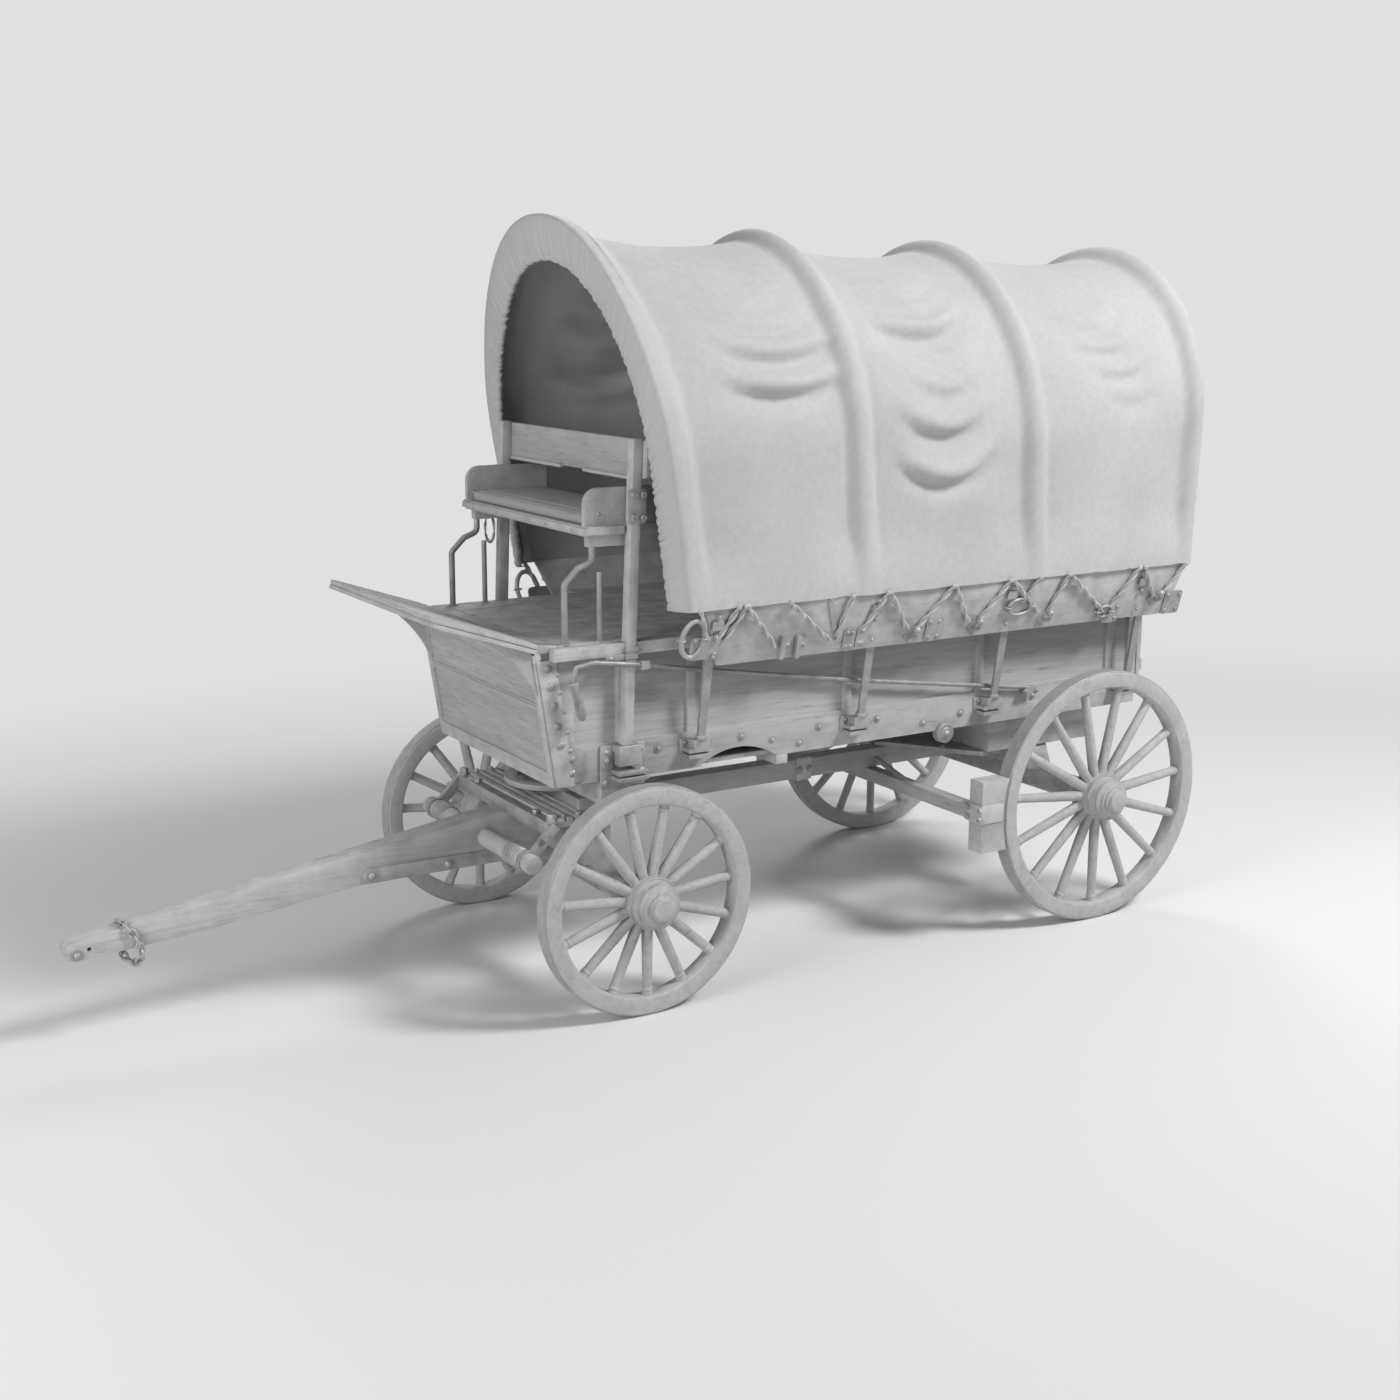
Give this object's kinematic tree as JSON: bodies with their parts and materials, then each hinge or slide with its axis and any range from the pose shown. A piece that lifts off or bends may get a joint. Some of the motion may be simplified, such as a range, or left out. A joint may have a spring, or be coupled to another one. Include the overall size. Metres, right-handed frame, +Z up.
{
  "type": "covered wagon",
  "caption": "Wooden covered wagon with a canvas top over bows, spoked wheels, a driver's seat, a steering front gear and a long tongue.",
  "frame": {"origin": "on the ground, under the middle of the overall box with the steering straight", "axes": "+X forward along the tongue, +Y to the wagon's left, +Z up"},
  "size_m": [5.539, 2.184, 3.412],
  "materials": {
    "weathered_wood": "matte",
    "bent_wood": "matte",
    "forged_iron": "matte",
    "canvas": "matte",
    "seat_cloth": "matte"
  },
  "bodies": {
    "wagon": {"side_left": "weathered_wood", "side_right": "weathered_wood", "front_panel": "weathered_wood", "box_floor": "weathered_wood", "deck": "weathered_wood", "toe_board": "weathered_wood", "seat_post_left": "weathered_wood", "seat_post_right": "weathered_wood", "post_socket_left": "forged_iron", "post_socket_right": "forged_iron", "seat_board": "weathered_wood", "seat_cushion": "seat_cloth", "seat_back": "weathered_wood", "seat_irons_left": "forged_iron", "seat_irons_right": "forged_iron", "flare_board_left": "weathered_wood", "flare_board_right": "weathered_wood", "side_irons_left": "forged_iron", "side_irons_right": "forged_iron", "end_board": "weathered_wood", "bow_front": "bent_wood", "bow_second": "bent_wood", "bow_third": "bent_wood", "bow_rear": "bent_wood", "cover": "canvas", "front_bolster": "weathered_wood", "reach": "weathered_wood", "rear_bolster": "weathered_wood", "rear_axle": "forged_iron", "rear_hounds": "forged_iron", "brake_beam": "weathered_wood", "brake_rod": "forged_iron", "gate_hinges": "forged_iron"},
    "front_gear": {"front_axle": "forged_iron", "gear_platform": "weathered_wood", "front_hounds": "forged_iron", "splinter_bar": "weathered_wood", "tongue": "weathered_wood"},
    "tailgate": {"tailgate": "weathered_wood"},
    "wheel_front_left": {"rim_front_left": "weathered_wood", "spokes_front_left": "weathered_wood"},
    "wheel_front_right": {"rim_front_right": "weathered_wood", "spokes_front_right": "weathered_wood"},
    "wheel_rear_left": {"rim_rear_left": "weathered_wood", "spokes_rear_left": "weathered_wood"},
    "wheel_rear_right": {"rim_rear_right": "weathered_wood", "spokes_rear_right": "weathered_wood"}
  },
  "joints": [
    {"name": "front_gear_steer", "type": "hinge", "parent": "wagon", "child": "front_gear", "pos_m": [0.5025, 0, 0.868], "axis": [0, 0, 1], "range_deg": [-32, 32]},
    {"name": "front_left_wheel_spin", "type": "hinge", "parent": "front_gear", "child": "wheel_front_left", "pos_m": [0.5025, 0.867, 0.512], "axis": [0, 1, 0], "continuous": true},
    {"name": "front_right_wheel_spin", "type": "hinge", "parent": "front_gear", "child": "wheel_front_right", "pos_m": [0.5025, -0.867, 0.512], "axis": [0, 1, 0], "continuous": true},
    {"name": "rear_left_wheel_spin", "type": "hinge", "parent": "wagon", "child": "wheel_rear_left", "pos_m": [-2.0535, 0.93, 0.635], "axis": [0, 1, 0], "continuous": true},
    {"name": "rear_right_wheel_spin", "type": "hinge", "parent": "wagon", "child": "wheel_rear_right", "pos_m": [-2.0535, -0.93, 0.635], "axis": [0, 1, 0], "continuous": true},
    {"name": "tailgate_drop", "type": "hinge", "parent": "wagon", "child": "tailgate", "pos_m": [-2.6265, 0, 1.048], "axis": [0, -1, 0], "range_deg": [0, 105]}
  ]
}
